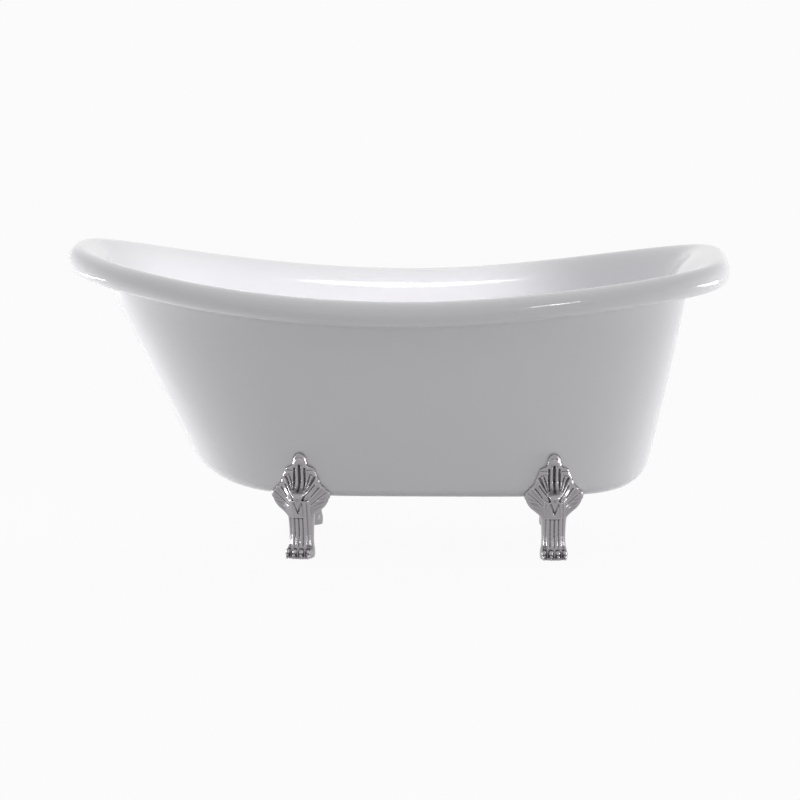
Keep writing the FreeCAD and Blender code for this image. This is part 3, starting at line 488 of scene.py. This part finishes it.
def add_cavity(mesh, rounds=6, depth=0.0011):
    """Stores how sunk each point lies in its surroundings: 0 deep, 0.5 level, 1 proud."""
    count = len(mesh.vertices)
    place, normal = np.empty(count * 3), np.empty(count * 3)
    mesh.vertices.foreach_get("co", place)
    mesh.vertices.foreach_get("normal", normal)
    place, normal = place.reshape(-1, 3), normal.reshape(-1, 3)
    edges = np.empty(len(mesh.edges) * 2, int)
    mesh.edges.foreach_get("vertices", edges)
    a, b = edges.reshape(-1, 2).T
    degree = np.bincount(np.concatenate([a, b]), minlength=count).clip(1)[:, None]

    def even(values):
        total = np.zeros_like(values)
        np.add.at(total, a, values[b])
        np.add.at(total, b, values[a])
        return 0.5 * values + 0.5 * total / degree

    around = place
    for _ in range(rounds):
        around = even(around)
    proud = even(((place - around) * normal).sum(1)[:, None])
    level = np.clip(0.5 + 0.5 * proud[:, 0] / depth, 0, 1)
    attribute = mesh.attributes.new("cavity", "FLOAT", "POINT")
    attribute.data.foreach_set("value", level)


def wall_behind(place):
    """The bath's wall as a foot at this place sees it: how far in it lies at (u, z)."""
    inverse = place.inverted()
    shell = frame["nodes"]["outer_shell"].data
    points = [inverse @ v.co for v in shell.vertices]
    tree = BVHTree.FromPolygons(points, [p.vertices[:] for p in shell.polygons])

    def wall_at(u, z):
        hit = tree.ray_cast(Vector((u, PROBE_START, z)) * MM, Vector((0, 1, 0)))[0]
        return -hit.y / MM

    low, high = wall_at(0, PROBE_LOW), wall_at(0, PROBE_HIGH)
    left, right = wall_at(-PROBE_SIDE, PROBE_LOW), wall_at(PROBE_SIDE, PROBE_LOW)
    tilt, bend = (right - left) / (2 * PROBE_SIDE), ((right + left) / 2 - low) / PROBE_SIDE ** 2

    def wall(u, z):
        return low + (high - low) * (z - PROBE_LOW) / (PROBE_HIGH - PROBE_LOW) + tilt * u + bend * u * u

    return wall


def make_foot_mesh(name, place):
    """A front foot in the bath's frame, its back shaped to the wall that it stands against."""
    solids = [leaf_solid(wall_behind(place)), leg_solid(), *paw_solids(), *mount_solids()]
    rough = mesh_of(solids, name)
    bm = bmesh.new()
    bm.from_mesh(rough)
    bmesh.ops.recalc_face_normals(bm, faces=bm.faces)
    bm.to_mesh(rough)
    bm.free()

    def remesh(holder):
        modifier = holder.modifiers.new("cast", "REMESH")
        modifier.mode = "VOXEL"
        modifier.voxel_size = CAST_VOXEL * MM
        soften = holder.modifiers.new("soften", "SMOOTH")
        soften.factor, soften.iterations = 0.5, 1

    cast = with_modifiers(rough, name, remesh)
    cutters = []
    for k, solid in enumerate(bore_solids()):
        mesh = mesh_of([solid], f"{name}_cutter_{k}")
        cutter = bpy.data.objects.new(mesh.name, mesh)
        scene.collection.objects.link(cutter)
        cutters.append(cutter)

    def drill(holder):
        for cutter in cutters:
            modifier = holder.modifiers.new("drill", "BOOLEAN")
            modifier.object, modifier.operation, modifier.solver = cutter, "DIFFERENCE", "EXACT"

    cast = with_modifiers(cast, name, drill)
    for cutter in cutters:
        bpy.data.objects.remove(cutter)
    for vertex in cast.vertices:
        vertex.co.z = max(vertex.co.z, 0.0)
    cast.transform(place)
    cast.shade_smooth()
    add_cavity(cast)
    return cast


def foot_place(turn, sole):
    """The frame of a front foot, whose levelling foot stands at the middle of its sole."""
    middle = (sole[0] + sole[1]) / 2
    return Matrix.Translation((middle.x, middle.y, 0)) @ Matrix.Rotation(math.radians(turn), 4, "Z")


for end, turn in FOOT_TURNS.items():
    front = make_foot_mesh("cast_foot_front_" + end, foot_place(turn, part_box("leveller_pad_front_" + end)))
    rear = front.copy()
    rear.name = "cast_foot_rear_" + end
    rear.transform(Matrix.Diagonal((1, -1, 1, 1)))
    rear.flip_normals()
    for side, mesh in (("front", front), ("rear", rear)):
        mesh.materials.clear()
        mesh.materials.append(FINISH["foot_metal"])
        foot = bpy.data.objects.new(f"cast_foot_{side}_{end}", mesh)
        scene.collection.objects.link(foot)
        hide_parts(f"foot_{side}_{end}")
        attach(foot, "bath")

# --- the plug's spring -------------------------------------------------------------------
# It stands on its seat. The real spring is pressed together as the plug goes down; here it is a fixed copy
# carried with the bath.
coil = bpy.data.objects.new("plug_coil", frame["nodes"]["plug_spring"].data.copy())
scene.collection.objects.link(coil)
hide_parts("plug_spring")
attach(coil, "bath")
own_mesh(coil)

# --- the floor and the light -------------------------------------------------------------
WHITE = (1, 1, 1, 1)
# The floor lies just under the soles. It shows nearly white and keeps a faint shadow.
FLOOR_WIDTH, FLOOR_DROP, FLOOR_GREY, FLOOR_SHOWN_WHITE = 160.0, 0.0005, 0.55, 0.94

bpy.ops.mesh.primitive_plane_add(size=FLOOR_WIDTH, location=(0, 0, -FLOOR_DROP))
floor = bpy.context.object
floor.name = "floor"
ground = Surface("pale_floor")
ground.set(Base_Color=(FLOOR_GREY, FLOOR_GREY, FLOOR_GREY, 1), Roughness=0.9)
glow = ground.add("ShaderNodeEmission", {"Color": WHITE, "Strength": 1.0})
seen = ground.calculate("MULTIPLY", ground.shown(), FLOOR_SHOWN_WHITE)
both = ground.add("ShaderNodeMixShader", {0: seen, 1: ground.shader.outputs[0], 2: glow.outputs[0]})
ground.tree.links.new(both.outputs[0], ground.tree.nodes["Material Output"].inputs["Surface"])
floor.data.materials.append(ground.material)

# The room is bright above, behind and at both sides, and dim in front. Each brighter part
# adds its level as the direction's share along its axis goes from the first number to the
# second.
FRONT_LEVEL = 0.235
OVERHEAD, BEHIND, SIDES = (0.4, 0.25, 0.9), (0.4, 0.0, 0.8), (0.36, 0.6, 0.97)

world = bpy.data.worlds.new("studio")
scene.world = world
world.use_nodes = True
world.node_tree.nodes.clear()
sky = Tree(world.node_tree)
looking = sky.add("ShaderNodeTexCoord").outputs["Generated"]
direction = sky.add("ShaderNodeSeparateXYZ", {0: looking}).outputs
sideways = sky.add("ShaderNodeMath", {0: direction["X"]}, operation="ABSOLUTE").outputs[0]
level = FRONT_LEVEL
brighter = ((direction["Z"], OVERHEAD), (direction["Y"], BEHIND), (sideways, SIDES))
for share, (gain, start, end) in brighter:
    inputs = {"Value": share, "From Min": start, "From Max": end, "To Min": 0.0, "To Max": 1.0}
    ramp = sky.add("ShaderNodeMapRange", inputs, interpolation_type="SMOOTHSTEP").outputs["Result"]
    level = sky.calculate("ADD", sky.calculate("MULTIPLY", ramp, gain), level)
room = sky.add("ShaderNodeBackground", {"Color": WHITE, "Strength": level}).outputs[0]
backdrop = sky.add("ShaderNodeBackground", {"Color": WHITE, "Strength": 1.0}).outputs[0]
whole = sky.add("ShaderNodeMixShader", {0: sky.shown(), 1: room, 2: backdrop}).outputs[0]
sky.add("ShaderNodeOutputWorld", {"Surface": whole})


def lamp(name, place, aim, size, power, spread=180.0):
    data = bpy.data.lights.new(name, "AREA")
    data.shape = "RECTANGLE"
    data.size, data.size_y = size
    data.energy = power
    data.spread = math.radians(spread)
    holder = bpy.data.objects.new(name, data)
    holder.location = place
    holder.rotation_euler = (Vector(aim) - Vector(place)).to_track_quat("-Z", "Y").to_euler()
    scene.collection.objects.link(holder)


lamp("softbox_over_bath", (0.03, 0.0, 2.3), (0.03, 0.0, 0.2), (1.3, 0.22), power=0.5, spread=13)
lamp("softbox_inside", (-0.2, -1.1, 2.1), (-0.2, 0.27, 0.5), (1.1, 0.3), power=0.7, spread=12)
lamp("left_strip", (-1.9, 0.25, 0.05), (-0.5, 0.0, 0.17), (1.2, 0.1), power=17)
lamp("right_strip", (2.4, -0.15, 0.2), (0.6, 0.0, 0.4), (1.4, 0.3), power=15)
lamp("key", (0.5, -3.6, 1.5), (0.0, -0.25, 0.2), (0.35, 0.18), power=4)

# --- view transform ----------------------------------------------------------------------
scene.view_settings.view_transform = "Standard"
